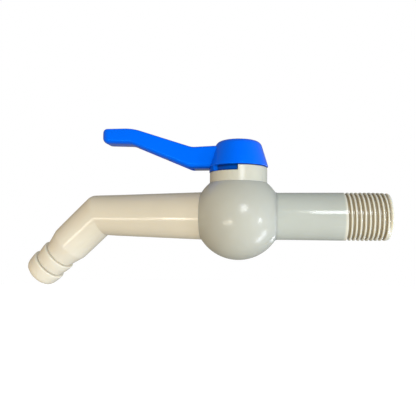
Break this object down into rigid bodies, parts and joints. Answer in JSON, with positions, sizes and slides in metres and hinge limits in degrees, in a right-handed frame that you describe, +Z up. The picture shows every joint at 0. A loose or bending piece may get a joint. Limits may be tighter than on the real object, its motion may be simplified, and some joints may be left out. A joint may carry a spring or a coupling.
{
  "type": "ball valve tap",
  "caption": "Plastic ball valve tap with a threaded inlet, round housing, bent barbed hose spout and a lever handle that turns a quarter turn to shut it.",
  "frame": {"origin": "centre of the inlet's threaded end, on the axis of the pipe", "axes": "+X along the inlet and out of its threaded end, towards the supply pipe; +Z up along the stem to the handle"},
  "size_m": [0.1657, 0.0394, 0.0735],
  "materials": {
    "housing_grey": "moulded polypropylene, satin gloss",
    "body_ivory": "moulded polypropylene, satin gloss",
    "pipe_grey": "moulded polypropylene, satin gloss",
    "ball_white": "polished polypropylene",
    "seat_ptfe": "waxy white PTFE",
    "seal_rubber": "black nitrile rubber",
    "stem_acetal": "natural acetal",
    "handle_blue": "bright blue moulded plastic, glossy",
    "screw_steel": "plated steel"
  },
  "bodies": {
    "casing": {"ball_housing": "housing_grey", "valve_body": "body_ivory", "inlet_connector": "pipe_grey", "outlet_spout": "body_ivory", "seat_inlet": "seat_ptfe", "seat_outlet": "seat_ptfe", "seat_o_ring_inlet": "seal_rubber", "seat_o_ring_outlet": "seal_rubber", "body_gasket_inlet": "seal_rubber", "body_gasket_outlet": "seal_rubber", "stem_thrust_washer": "seat_ptfe", "stem_dust_seal": "seal_rubber"},
    "handle_and_stem": {"handle": "handle_blue", "screw_cover": "handle_blue", "handle_screw": "screw_steel", "screw_washer": "screw_steel", "stem": "stem_acetal", "stem_o_ring_lower": "seal_rubber", "stem_o_ring_upper": "seal_rubber"},
    "ball": {"ball": "ball_white"}
  },
  "joints": [
    {"name": "handle_turn", "type": "hinge", "parent": "casing", "child": "handle_and_stem", "pos_m": [-0.0646, 0, 0.02], "axis": [0, 0, 1], "range_deg": [-90, 0]},
    {"name": "ball_turn", "type": "hinge", "parent": "casing", "child": "ball", "pos_m": [-0.0646, 0, 0], "axis": [0, 0, 1], "range_deg": [-90, 0]}
  ],
  "couplings": [
    {"joint": "ball_turn", "follows": "handle_turn", "ratio": 1}
  ]
}
